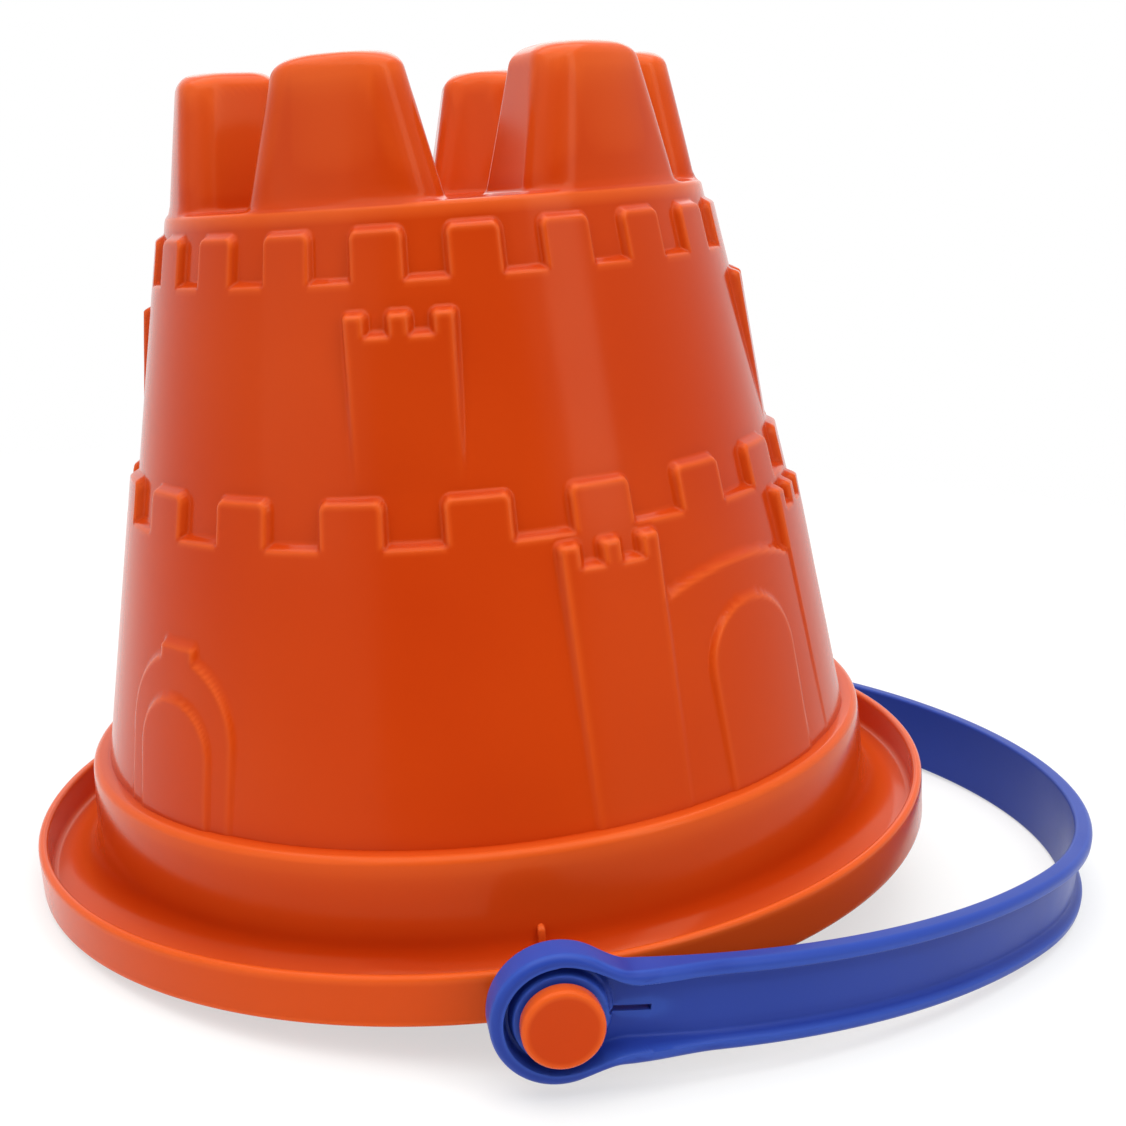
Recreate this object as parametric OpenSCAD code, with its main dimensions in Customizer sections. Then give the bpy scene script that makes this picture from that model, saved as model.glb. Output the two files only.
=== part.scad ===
// Castle sand bucket, stood mouth down, with a snap-on carrying handle.
// Millimetres. The rim lies on z = 0, the castle rises along +Z and the handle swings about Y.

/* [Rim] */
// Outer radius of the lip round the rim
rim_radius = 100; // [85:0.5:125]
// Height of the lip above the mouth
lip_height = 9.7; // [7:0.1:13]
// Width of the gutter from the lip's outside to the collar
gutter_width = 13.7; // [10:0.1:18]
// Fillet where the collar runs into the gutter
gutter_fillet = 6; // [2:0.5:7]
// Wall thickness of the shell
wall = 2; // [1.4:0.1:2.6]

/* [Tiers] */
// Height of the collar's top edge
collar_top = 25.4; // [18:0.1:34]
// How far the lowest wall is set back from the collar
collar_step = 3.7; // [3:0.1:6]
// Height of the lowest wall, collar to ledge
lower_height = 53.4; // [44:0.1:66]
// Set-back of the middle wall at the lower ledge
lower_step = 1.8; // [1:0.1:3]
// Height of the middle wall, ledge to ledge
middle_height = 46.9; // [40:0.1:60]
// Set-back of the top wall at the upper ledge
upper_step = 1.6; // [1:0.1:3]
// Height of the top wall up to the turrets' shelf
top_height = 12.9; // [11:0.1:20]
// Inward lean of the walls, millimetres per millimetre of height
lean = 0.2; // [0.12:0.01:0.24]

/* [Merlons] */
// Merlons round the lower ledge
lower_merlons = 19; // [12:1:22]
// Height of the lower merlons
lower_merlon_height = 8.5; // [5:0.1:12]
// Merlons round the upper ledge
upper_merlons = 21; // [12:1:22]
// Height of the upper merlons
upper_merlon_height = 8.6; // [5:0.1:10]
// Share of each pitch that is merlon
merlon_share = 0.56; // [0.45:0.01:0.65]

/* [Turrets] */
// Turret height above the shelf
turret_height = 27.2; // [18:0.1:36]
// Turrets round the crown
turret_count = 6; // [5:1:7]
// Share of each pitch that is turret at its foot
turret_share = 0.6667; // [0.6:0.0001:0.7]
// Radial depth of a turret at its foot
turret_depth = 28.5; // [24:0.5:30]
// Inward lean of the turrets' faces
turret_lean = 0.17; // [0.08:0.005:0.18]
// Rounding of the turrets' top edges
turret_round = 3.2; // [2.6:0.1:3.6]

/* [Relief] */
// How far a tower stands out at its top
tower_proud = 2.2; // [1:0.1:3]
// How far an arch panel stands out at its top
arch_proud = 1; // [0.5:0.1:1.6]
// Width of a tower
tower_width = 20; // [16:0.1:22]
// Half width of the outer door arch
door_half = 16.6; // [14:0.1:18]
// Half width of the inner door arch
arch_half = 12.4; // [9:0.1:13]

/* [Studs] */
// Shaft diameter of a handle stud
stud_shaft = 9; // [7:0.1:9.4]
// Head diameter of a handle stud
stud_head = 14.4; // [12:0.1:15.2]
// Head thickness of a handle stud
stud_head_thick = 3.4; // [2.2:0.1:4.2]

/* [Handle] */
// Handle length from the stud line, as a multiple of its half width
handle_stretch = 1.324; // [1.15:0.002:1.5]
// Strap width
strap_width = 17.4; // [15:0.1:20]
// Web thickness between the edge beads
strap_web = 2; // [1.6:0.1:2.6]
// Thickness over the edge beads
strap_thick = 4; // [3.4:0.1:4.8]
// Width of an edge bead
bead_width = 3.4; // [2.8:0.1:4.4]
// Outer diameter of an eye
eye_diameter = 24.2; // [22.4:0.1:28]
// How far an eye stands out past the strap
eye_rise = 2.6; // [1.6:0.1:3.2]
// Depth of the groove round an eye's hub
groove_depth = 3; // [2:0.1:3.6]
// Width of the groove round an eye's hub
groove_width = 1; // [0.8:0.1:1.4]
// Space between the lip and an eye
eye_space = 3.8; // [2:0.1:6]
// Diametral clearance of the stud in the eye
eye_play = 0.1; // [0.05:0.01:0.18]
// Width of the slit that lets an eye spring open
slit_width = 1.2; // [0.8:0.1:2]
// How far the slit runs from the stud's axis, as a multiple of the eye's radius
slit_reach = 1.37; // [1.15:0.01:1.5]
// Droop of the handle below the rim, degrees
handle_droop = 9.4; // [0:0.1:20]

/* [Hidden] */
$fn = 96;
bucket_color = [0.80, 0.25, 0.09];
handle_color = [0.16, 0.22, 0.58];

// wall thickness measured level across a leaning wall
across = sqrt(1 + lean * lean);
sunk = 6;

// heights and radii of the tiers
collar_radius = rim_radius - gutter_width;
collar_lean = 0.06;
foot_radius = collar_radius - collar_step;
lower_top = collar_top + lower_height;
lower_radius = foot_radius - lean * lower_height;
middle_foot = lower_radius - lower_step;
middle_top = lower_top + middle_height;
middle_radius = middle_foot - lean * middle_height;
top_foot = middle_radius - upper_step;
shelf = middle_top + top_height;
shelf_radius = top_foot - lean * top_height;
turret_radius = shelf_radius - 0.9;
crown = shelf + turret_height;

// gaps between the turrets: their flanks are radial at the shelf
turret_pitch = 360 / turret_count;
turret_phase = 6;
gap_half = turret_pitch * (1 - turret_share) / 2;
gap_near = turret_radius - turret_depth - 3;
gap_run = turret_depth + 12;
flank_width = 0.9 * gap_near * sin(2 * gap_half);
core_half = 1.05 * turret_radius * sin(gap_half) - flank_width + 1;

// phases of the rings and places of the relief, degrees from the front
lower_phase = -2.7;
upper_phase = 1;
middle_tower_angle = -12.5;
gate_angle = 39;
gate_towers = 22.9;
door_angle = -52.5;

// stud and eye stations along Y
stud_height = lip_height / 2;
eye_inside = rim_radius + eye_space;
eye_thick = strap_thick + eye_rise;
eye_outside = eye_inside + eye_thick;
hub_drop = 0.7;
hub_diameter = stud_head + 2.2;
groove_diameter = hub_diameter + 2 * groove_width;
head_inside = eye_outside - hub_drop + 0.35;
bore = stud_shaft + eye_play;

// handle curve: two leg arcs and an end arc that meet smoothly
leg_offset = eye_inside + strap_thick / 2;
handle_reach = handle_stretch * leg_offset;
end_radius = 0.81 * leg_offset;
end_shift = handle_reach - end_radius;
leg_gain = leg_offset - end_radius;
leg_radius = (end_shift * end_shift / leg_gain + end_radius + leg_offset) / 2;
leg_shift = leg_radius - leg_offset;
join_angle = atan2(leg_shift, end_shift);
leg_start = asin((eye_diameter / 2 - 3.4) / leg_radius);

// solid cone between two heights, given by its radius at a datum height
module frustum(z0, z1, datum, radius, slope) {
  translate([0, 0, z0])
    cylinder(h = z1 - z0, r1 = radius - slope * (z0 - datum), r2 = radius - slope * (z1 - datum));
}

// places a child that faces the front at an angle round the bucket
module around(angle) {
  rotate([0, 0, angle])
    children();
}

// spaces between the merlons of one ring
module crenels(count, phase, radius, floor_z, high, t) {
  pitch = 360 / count;
  half_gap = pitch * (1 - merlon_share) / 2;
  near = radius - 14;
  far = radius + 6;
  for (i = [0 : count - 1])
    around(phase + (i + 0.5) * pitch)
      translate([0, 0, floor_z])
        linear_extrude(height = high)
          polygon([
            [-near * tan(half_gap) - t, -near],
            [near * tan(half_gap) + t, -near],
            [far * tan(half_gap) + t, -far],
            [-far * tan(half_gap) - t, -far]
          ]);
}

// one tier whose wall runs on upward as merlons
module tier(z0, ledge, merlon, datum, radius, count, phase, t) {
  difference() {
    frustum(z0, ledge + merlon - t, datum, radius - t * across, lean);
    crenels(count, phase, radius - lean * (ledge - datum), ledge - t, merlon + 2, t);
  }
}

// what a rounded edge loses where a leaning face, on the far side when side is 1, meets a level top
module edge_cut(x, top, bend, side) {
  steep = sqrt(1 + turret_lean * turret_lean);
  reach = 2 * bend;
  translate([x - side * (bend * steep - turret_lean * bend), top - bend])
    difference() {
      polygon([
        [0, 0],
        [side * reach / steep, reach * turret_lean / steep],
        [side * reach, reach],
        [0, reach]
      ]);
      circle(r = bend + 0.03);
    }
}

// ring that the turrets are cut from, with rounded top edges
module turret_ring(t) {
  foot = shelf - 3 - t;
  high = crown - t;
  inset = t * sqrt(1 + turret_lean * turret_lean);
  outside = turret_radius - inset;
  inside = turret_radius - turret_depth + inset;
  bend = max(turret_round - t, 0.6);
  low_gain = turret_lean * (shelf - foot);
  high_gain = turret_lean * (high - shelf);
  rotate_extrude()
    difference() {
      polygon([
        [inside - low_gain, foot],
        [outside + low_gain, foot],
        [outside - high_gain, high],
        [inside + high_gain, high]
      ]);
      edge_cut(outside - high_gain, high, bend, 1);
      edge_cut(inside + high_gain, high, bend, -1);
    }
}

// one flank of a gap: cuts back to a leaning face that rounds over into the turret's top
module turret_flank(t, side) {
  inset = t * sqrt(1 + turret_lean * turret_lean);
  low = shelf - 5 - t;
  high = crown - t;
  over = high + 3;
  bend = max(turret_round - t, 0.6);
  edge = side * (inset + turret_lean * (high - shelf));
  rotate([0, 0, side * gap_half])
    translate([0, -gap_near, 0])
      rotate([90, 0, 0])
        linear_extrude(height = gap_run)
          union() {
            polygon([
              [side * (inset - turret_lean * (shelf - low)), low],
              [side * (inset + turret_lean * (over - shelf)), over],
              [-side * flank_width, over],
              [-side * flank_width, low]
            ]);
            edge_cut(edge, high, bend, -side);
          }
}

// middle of a gap, between its flanks
module gap_core(t) {
  low = shelf - 4.5 - t;
  translate([-core_half, -gap_near - gap_run + 0.5, low])
    cube([2 * core_half, gap_run - 1, crown + 2 - low]);
}

// turrets: the ring less its gaps
module turrets(t) {
  difference() {
    turret_ring(t);
    for (i = [0 : turret_count - 1])
      around(turret_phase + i * turret_pitch) {
        gap_core(t);
        for (side = [-1, 1])
          turret_flank(t, side);
      }
  }
}

// a relief panel: a steeper cone limited to an outline drawn on the front
module panel(z0, z1, datum, radius, proud0, proud1, t) {
  slope = lean - (proud1 - proud0) / (z1 - z0);
  start = radius - lean * (z0 - datum) + proud0;
  intersection() {
    frustum(z0, z1 + 2, z0, start - t * across, slope);
    translate([0, -radius * 0.72, 0])
      rotate([90, 0, 0])
        linear_extrude(height = radius)
          children();
  }
}

// outline of a tower with three small merlons
module tower_outline(z0, z1, notch, t) {
  half = tower_width / 2 - t;
  merlon = tower_width / 5;
  difference() {
    translate([-half, z0])
      square([2 * half, (t > 0 ? notch - t : z1) - z0]);
    if (t == 0)
      for (side = [-1, 1])
        translate([side * merlon - merlon / 2, notch])
          square([merlon, z1 - notch + 1]);
  }
}

// outline of an arched door with a round head
module arch_outline(z0, spring, half, t) {
  translate([-half + t, z0])
    square([2 * (half - t), spring - z0]);
  translate([0, spring])
    circle(r = half - t);
}

// outline of the wide arch that spans from tower to tower
module span_outline(z0, top, half, rise, t) {
  bow = (half * half + rise * rise) / (2 * rise);
  intersection() {
    translate([-half + t, z0])
      square([2 * (half - t), top - z0]);
    translate([0, top - bow])
      circle(r = bow - t, $fn = 192);
  }
}

// relief on the lowest wall: two gates between towers, two doors with a keystone
module lower_relief(t) {
  base = collar_top - 3 - t;
  high = lower_top - 1.8;
  gate_top = collar_top + 0.8 * lower_height;
  gate_spring = collar_top + 0.41 * lower_height;
  gate_half = foot_radius * sin(gate_towers) - tower_width / 2 + 3;
  door_spring = collar_top + 0.29 * lower_height;
  inner_spring = collar_top + 0.24 * lower_height;
  for (turn = [0, 180]) {
    around(gate_angle + turn) {
      panel(base, gate_top, collar_top, foot_radius, 0.25, arch_proud, t)
        span_outline(base, gate_top, gate_half, 6, t);
      panel(base, gate_top, collar_top, foot_radius, 0.6, 2 * arch_proud, t)
        arch_outline(base, gate_spring, arch_half + 1, t);
    }
    for (side = [-1, 1])
      around(gate_angle + turn + side * gate_towers)
        panel(base, high, collar_top, foot_radius, 0.4, tower_proud, t)
          tower_outline(base, high, high - 4, t);
    around(door_angle + turn) {
      panel(base, gate_top, collar_top, foot_radius, 0.25, arch_proud, t)
        union() {
          arch_outline(base, door_spring, door_half, t);
          translate([-5.4 + t, door_spring])
            square([10.8 - 2 * t, door_half + 1.8 - t]);
        }
      panel(base, gate_top, collar_top, foot_radius, 0.6, 2 * arch_proud, t)
        arch_outline(base, inner_spring, arch_half - 1, t);
    }
  }
}

// relief on the middle wall: four towers that die away downward
module middle_relief(t) {
  high = middle_top - 5.8;
  low = lower_top + 0.2 * middle_height;
  slope_run = high - low;
  for (turn = [0 : 90 : 270])
    around(middle_tower_angle + turn)
      panel(low - 4, high, lower_top, middle_foot, -4 * tower_proud / slope_run, tower_proud, t)
        tower_outline(low - 4, high, high - 4, t);
}

// whole castle; t insets every face, so two of these make the shell
module castle(t) {
  foot = t > 0 ? -1 : 0;
  union() {
    frustum(foot, collar_top - t, collar_top, collar_radius - t, collar_lean);
    tier(
      collar_top - sunk, lower_top, lower_merlon_height, collar_top, foot_radius,
      lower_merlons, lower_phase, t
    );
    tier(
      lower_top - sunk, middle_top, upper_merlon_height, lower_top, middle_foot,
      upper_merlons, upper_phase, t
    );
    frustum(middle_top - sunk, shelf - t, middle_top, top_foot - t * across, lean);
    turrets(t);
    lower_relief(t);
    middle_relief(t);
  }
}

// flange, gutter and lip round the mouth
module rim() {
  inner = collar_radius + collar_lean * collar_top - wall / 2;
  corner = collar_radius + collar_lean * (collar_top - gutter_fillet) - wall / 2;
  rotate_extrude()
    union() {
      translate([inner, 0])
        square([rim_radius - inner, wall]);
      translate([rim_radius - wall, 0])
        square([wall, lip_height - wall / 2]);
      translate([rim_radius - wall / 2, lip_height - wall / 2])
        circle(r = wall / 2);
      difference() {
        translate([corner, wall / 2])
          square([gutter_fillet + wall / 2, gutter_fillet + wall / 2]);
        translate([corner + gutter_fillet + wall / 2, wall + gutter_fillet])
          circle(r = gutter_fillet);
      }
    }
}

// headed stud that carries one eye of the handle
module stud() {
  translate([0, 0, stud_height])
    rotate([90, 0, 0])
      union() {
        translate([0, 0, rim_radius - wall * 0.7])
          cylinder(h = head_inside - rim_radius + wall, d = stud_shaft);
        translate([0, 0, head_inside])
          cylinder(h = stud_head_thick - 1, d = stud_head);
        translate([0, 0, head_inside + stud_head_thick - 1])
          cylinder(h = 1, d1 = stud_head, d2 = stud_head - 2);
      }
}

module bucket() {
  color(bucket_color)
    union() {
      difference() {
        union() {
          castle(0);
          rim();
        }
        castle(wall);
      }
      stud();
      mirror([0, 1, 0])
        stud();
    }
}

// strap section: a web along the inside with a bead on each edge; less takes a hair off every face
module strap_section(bend, less) {
  half = strap_width / 2 - less;
  soft = 1.2 - less;
  inside = bend - strap_thick / 2 + less;
  thick = strap_thick - 2 * less;
  bead = bead_width - 2 * less;
  union() {
    translate([inside, -half + bead / 2])
      square([strap_web - 2 * less, 2 * half - bead]);
    for (side = [-1, 1])
      translate([inside, side * (half - bead / 2) - bead / 2]) {
        translate([soft, 0])
          square([thick - 2 * soft, bead]);
        translate([0, soft])
          square([thick, bead - 2 * soft]);
        for (x = [soft, thick - soft])
          for (y = [soft, bead - soft])
            translate([x, y])
              circle(r = soft);
      }
  }
}

// one leg of the strap, from an eye to just inside the end arc
module leg() {
  translate([0, leg_shift, 0])
    rotate([0, 0, -90 + leg_start])
      rotate_extrude(angle = 91 - join_angle - leg_start)
        strap_section(leg_radius, 0.05);
}

// eye: a ring and a lower hub with a groove between them, turned about the stud's axis
module eye() {
  rotate([90, 0, 0])
    rotate_extrude()
      polygon([
        [bore / 2, eye_inside],
        [eye_diameter / 2, eye_inside],
        [eye_diameter / 2, eye_outside],
        [groove_diameter / 2, eye_outside],
        [groove_diameter / 2, eye_outside - groove_depth],
        [hub_diameter / 2, eye_outside - groove_depth],
        [hub_diameter / 2, eye_outside - hub_drop],
        [bore / 2, eye_outside - hub_drop]
      ]);
}

// slit cut from the groove out along the strap
module slit() {
  near = groove_diameter / 2 - groove_width / 2;
  far = slit_reach * eye_diameter / 2;
  translate([near, -eye_outside - 1, -slit_width / 2])
    cube([far - near, eye_thick + 2, slit_width]);
}

module handle() {
  color(handle_color)
    translate([0, 0, stud_height])
      rotate([0, handle_droop, 0])
        difference() {
          union() {
            translate([end_shift, 0, 0])
              rotate([0, 0, -join_angle])
                rotate_extrude(angle = 2 * join_angle)
                  strap_section(end_radius, 0);
            for (side = [0, 1])
              mirror([0, side, 0]) {
                leg();
                eye();
              }
          }
          for (side = [0, 1])
            mirror([0, side, 0])
              slit();
        }
}

bucket();
handle();
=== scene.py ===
import math
import bpy
import numpy as np
from mathutils import Matrix


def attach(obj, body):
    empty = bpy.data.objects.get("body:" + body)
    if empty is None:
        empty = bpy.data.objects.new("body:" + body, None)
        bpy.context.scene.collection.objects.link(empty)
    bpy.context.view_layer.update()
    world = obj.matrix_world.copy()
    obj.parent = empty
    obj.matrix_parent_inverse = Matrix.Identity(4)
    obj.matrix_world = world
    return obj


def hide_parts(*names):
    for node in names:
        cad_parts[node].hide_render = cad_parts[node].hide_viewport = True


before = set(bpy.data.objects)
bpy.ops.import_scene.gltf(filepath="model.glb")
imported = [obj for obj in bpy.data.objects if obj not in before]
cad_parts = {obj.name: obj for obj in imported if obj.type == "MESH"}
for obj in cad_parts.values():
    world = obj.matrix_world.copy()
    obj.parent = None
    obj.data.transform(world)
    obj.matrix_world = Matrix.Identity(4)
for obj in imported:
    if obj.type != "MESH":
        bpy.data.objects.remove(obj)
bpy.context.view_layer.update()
print("frame loaded")

mm = 0.001  # every size below is in millimetres until its mesh is made
sharpAngle = 62.0  # faces that meet at more degrees than this keep a hard line


# array of point numbers for a grid; a closed direction repeats its first line at the end
def numbered(rows, columns, closeRows, closeColumns):
    index = np.arange(rows * columns).reshape(rows, columns)
    return np.pad(index, ((0, int(closeRows)), (0, int(closeColumns))), mode="wrap")


# quads between neighbouring lines of an array of point numbers
def gridFaces(index):
    corners = [index[:-1, :-1], index[:-1, 1:], index[1:, 1:], index[1:, :-1]]
    return np.stack(corners, axis=-1).reshape(-1, 4)


# triangles that close a ring of points on one tip
def fanFaces(ring, tip):
    return np.stack([ring, np.roll(ring, -1), np.full_like(ring, tip)], axis=-1)


# one closed surface; its faces turn round when the volume they hold comes out negative
def closedPart(points, quads, triangles=None):
    triangles = np.zeros((0, 3), int) if triangles is None else triangles
    split = np.vstack([quads[:, [0, 1, 2]], quads[:, [0, 2, 3]], triangles])
    a, b, c = points[split[:, 0]], points[split[:, 1]], points[split[:, 2]]
    if (a * np.cross(b, c)).sum() < 0:
        quads, triangles = quads[:, ::-1], triangles[:, ::-1]
    return points, quads, triangles


# a grid whose columns run round and whose first and last rows close on a tip at their own mean
def tippedPart(grid):
    rows, columns = grid.shape[:2]
    index = numbered(rows, columns, False, True)
    points = np.vstack([grid.reshape(-1, 3), grid[0].mean(axis=0), grid[-1].mean(axis=0)])
    first = fanFaces(index[0, :-1][::-1], rows * columns)
    last = fanFaces(index[-1, :-1], rows * columns + 1)
    return closedPart(points, gridFaces(index), np.vstack([first, last]))


# how far each point stands out of a smoothed copy of its surface along the normal, 0 to 1: worn convex edges, also
# painted paler as a highlight
def edgeWearAndPaintedLight(mesh, steps=14, fullAt=0.22 * mm):
    count = len(mesh.vertices)
    place, normal = np.empty(count * 3), np.empty(count * 3)
    mesh.vertices.foreach_get("co", place)
    mesh.vertices.foreach_get("normal", normal)
    ends = np.empty(len(mesh.edges) * 2, np.int32)
    mesh.edges.foreach_get("vertices", ends)
    here = np.concatenate([ends[0::2], ends[1::2]])
    there = np.concatenate([ends[1::2], ends[0::2]])
    share = np.maximum(np.bincount(here, minlength=count), 1)
    place = place.reshape(-1, 3)
    smooth = place.copy()
    for _ in range(steps):
        sums = [np.bincount(here, weights=smooth[there, axis], minlength=count) for axis in range(3)]
        smooth = np.stack(sums, axis=1) / share[:, None]
    return np.clip(((place - smooth) * normal.reshape(-1, 3)).sum(axis=1) / fullAt, 0, 1)


# joins closed parts into one smooth mesh in metres and lets it move with its CAD body; the edge wear and painted
# highlight comes ready made, or is measured and taken times calm, and it is nowhere less than glow, the painted light
# on shaded faces; calm and glow are functions of the points
def makePiece(name, parts, body, material, stands=None, wearAndPaintedLight=None, calm=None, glow=None):
    points = np.vstack([part[0] for part in parts])
    offset, faces = 0, []
    for partPoints, quads, triangles in parts:
        faces += (quads + offset).tolist() + (triangles + offset).tolist()
        offset += len(partPoints)
    mesh = bpy.data.meshes.new(name)
    mesh.from_pydata((points * mm).tolist(), [], faces)
    mesh.polygons.foreach_set("use_smooth", np.ones(len(mesh.polygons), bool))
    mesh.set_sharp_from_angle(angle=math.radians(sharpAngle))
    if wearAndPaintedLight is None:
        wearAndPaintedLight = edgeWearAndPaintedLight(mesh) * (1 if calm is None else calm(points))
    # glow is painted light: shaded faces painted paler, kept in the same attribute as the edge wear and painted
    # highlight
    if glow is not None:
        wearAndPaintedLight = np.maximum(wearAndPaintedLight, glow(points))
    layer = mesh.attributes.new("edgeWearAndPaintedLight", "FLOAT", "POINT")
    layer.data.foreach_set("value", np.ascontiguousarray(wearAndPaintedLight, dtype=np.float32))
    mesh.materials.append(material)
    piece = bpy.data.objects.new(name, mesh)
    bpy.context.scene.collection.objects.link(piece)
    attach(piece, body)
    if stands:
        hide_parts(stands)
    print(name, "made,", sum(len(face) - 2 for face in faces), "triangles")


# sRGB hex to the linear colour that a shader socket takes
def linearColour(hexText):
    value = np.array([int(hexText[k:k + 2], 16) for k in (1, 3, 5)]) / 255
    linear = np.where(value <= 0.04045, value / 12.92, ((value + 0.055) / 1.055) ** 2.4)
    return (*linear.tolist(), 1.0)


# adds one node, sets its properties, then gives each input a value or a link
def addNode(tree, kind, settings, inputs):
    node = tree.nodes.new(kind)
    for key, value in settings.items():
        setattr(node, key, value)
    for key, value in inputs.items():
        if isinstance(value, bpy.types.NodeSocket):
            tree.links.new(value, node.inputs[key])
        else:
            node.inputs[key].default_value = value
    return node


# a mix node's sockets by number: the share, the two values between which it mixes, and the result
colourMix = {"share": "Factor", "from": 6, "to": 7, "result": 2}
numberMix = {"share": 0, "from": 2, "to": 3, "result": 0}
# what both colours of the plastic have in common: the range in which each noise is read, the stretch of the rub
# marks and the refraction
moulding = {
    "cloudRange": (0.3, 0.7), "patchRange": (0.25, 0.75), "rubRange": (0.62, 0.8), "rubStretch": (1.0, 1.0, 9.0),
    "refraction": 1.49,
}


# Injection-moulded polypropylene: an even dye with faint flow clouds, a soft gloss that wavers a little,
# a fine orange-peel skin, faint rub marks, and a paler colour mixed in by a point attribute: edges worn by handling,
# painted highlights on convex edges and painted light on shaded faces whose thin walls would pass light
def mouldedPolypropylene(name, finish):
    m, mix = moulding, colourMix
    material = bpy.data.materials.new(name)
    material.use_nodes = True
    tree = material.node_tree
    shader = tree.nodes["Principled BSDF"]
    place = addNode(tree, "ShaderNodeTexCoord", {}, {}).outputs["Object"]
    clouds = addNode(tree, "ShaderNodeTexNoise", {}, {
        "Vector": place, "Scale": 1 / (finish["cloudSize"] * mm), "Detail": 2.0, "Roughness": 0.45})
    cloudShare = addNode(tree, "ShaderNodeMapRange", {}, {
        "Value": clouds.outputs["Fac"], "From Min": m["cloudRange"][0], "From Max": m["cloudRange"][1]})
    dye = addNode(tree, "ShaderNodeMix", {"data_type": "RGBA"}, {
        mix["share"]: cloudShare.outputs["Result"],
        mix["from"]: linearColour(finish["deep"]), mix["to"]: linearColour(finish["plain"])})
    # the point attribute mixes in the paler edge colour: edge wear, painted highlights on convex edges and painted
    # light on the shaded flanks and gutter
    wearAndPaintedLight = addNode(tree, "ShaderNodeAttribute", {"attribute_name": "edgeWearAndPaintedLight"}, {})
    wearAndPaintedLightShare = addNode(tree, "ShaderNodeMath", {"operation": "MULTIPLY"}, {
        0: wearAndPaintedLight.outputs["Fac"], 1: finish["wearAndPaintedLightShare"]})
    colour = addNode(tree, "ShaderNodeMix", {"data_type": "RGBA"}, {
        mix["share"]: wearAndPaintedLightShare.outputs["Value"],
        mix["from"]: dye.outputs[mix["result"]], mix["to"]: linearColour(finish["edge"])})
    tree.links.new(colour.outputs[mix["result"]], shader.inputs["Base Color"])
    # the gloss wavers over patches, and thin rub marks run round the part
    patches = addNode(tree, "ShaderNodeTexNoise", {}, {
        "Vector": place, "Scale": 1 / (finish["glossPatch"] * mm), "Detail": 3.0})
    stretch = addNode(tree, "ShaderNodeMapping", {}, {"Vector": place, "Scale": m["rubStretch"]})
    rubs = addNode(tree, "ShaderNodeTexNoise", {}, {
        "Vector": stretch.outputs["Vector"], "Scale": 1 / (finish["rubLength"] * mm), "Detail": 5.0, "Roughness": 0.7})
    rubMarks = addNode(tree, "ShaderNodeMapRange", {}, {
        "Value": rubs.outputs["Fac"], "From Min": m["rubRange"][0], "From Max": m["rubRange"][1],
        "To Max": finish["rubDulling"]})
    gloss = addNode(tree, "ShaderNodeMapRange", {}, {
        "Value": patches.outputs["Fac"], "From Min": m["patchRange"][0], "From Max": m["patchRange"][1],
        "To Min": finish["roughLow"], "To Max": finish["roughHigh"]})
    roughness = addNode(tree, "ShaderNodeMath", {"operation": "ADD"}, {
        0: gloss.outputs["Result"], 1: rubMarks.outputs["Result"]})
    tree.links.new(roughness.outputs["Value"], shader.inputs["Roughness"])
    # orange peel about a millimetre across, over broad faint sink marks
    peel = addNode(tree, "ShaderNodeTexNoise", {}, {
        "Vector": place, "Scale": 1 / (finish["peelSize"] * mm), "Detail": 2.0})
    sink = addNode(tree, "ShaderNodeTexNoise", {}, {
        "Vector": place, "Scale": 1 / (finish["sinkSize"] * mm), "Detail": 1.0})
    skin = addNode(tree, "ShaderNodeMath", {"operation": "MULTIPLY_ADD"}, {
        0: sink.outputs["Fac"], 1: finish["sinkDepth"] / finish["peelDepth"], 2: peel.outputs["Fac"]})
    bump = addNode(tree, "ShaderNodeBump", {}, {
        "Height": skin.outputs["Value"], "Strength": 1.0, "Distance": finish["peelDepth"] * mm})
    tree.links.new(bump.outputs["Normal"], shader.inputs["Normal"])
    shader.inputs["IOR"].default_value = m["refraction"]
    shader.inputs["Specular IOR Level"].default_value = finish["specular"]
    shader.inputs["Specular Tint"].default_value = finish["sheen"]
    return material


# the paler edge colour stands for worn edges, painted highlights and painted light, mixed in by the share after it
orangeFinish = {
    "plain": "#C03E0C", "deep": "#B93609", "edge": "#DE5F24", "wearAndPaintedLightShare": 0.6,
    "cloudSize": 60, "glossPatch": 22, "roughLow": 0.13, "roughHigh": 0.2,
    "rubLength": 14, "rubDulling": 0.08, "peelSize": 1.1, "peelDepth": 0.004,
    "sinkSize": 26, "sinkDepth": 0.05, "specular": 0.16, "sheen": (1.0, 0.70, 0.44, 1.0),
}
# the blue's paler edge colour likewise stands for worn edges, painted highlights and painted light
blueFinish = {
    "plain": "#263C94", "deep": "#20358A", "edge": "#3556B2", "wearAndPaintedLightShare": 0.5,
    "cloudSize": 50, "glossPatch": 18, "roughLow": 0.3, "roughHigh": 0.4,
    "rubLength": 12, "rubDulling": 0.08, "peelSize": 1.0, "peelDepth": 0.006,
    "sinkSize": 20, "sinkDepth": 0.04, "specular": 0.18, "sheen": (0.8, 0.88, 1.0, 1.0),
}
orange = mouldedPolypropylene("orangePolypropylene", orangeFinish)
blue = mouldedPolypropylene("bluePolypropylene", blueFinish)
print("materials made")


# 0 outside an outline and 1 inside it, with the rise centred on the outline: a small fillet, a steep face and a
# rounded crest, from two powers
def softEdge(depth, width, filletPower=1.6, crestPower=2.2):
    share = np.clip(depth / width + 0.5, 0, 1)
    return 1 - (1 - share ** filletPower) ** crestPower


# distance in from a rectangle with rounded corners, negative outside it
def boxDepth(x, z, half, low, high, corner):
    across = np.abs(x) - (half - corner)
    along = np.abs(z - (low + high) / 2) - ((high - low) / 2 - corner)
    outside = np.hypot(np.maximum(across, 0), np.maximum(along, 0))
    return corner - outside - np.minimum(np.maximum(across, along), 0)


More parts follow.
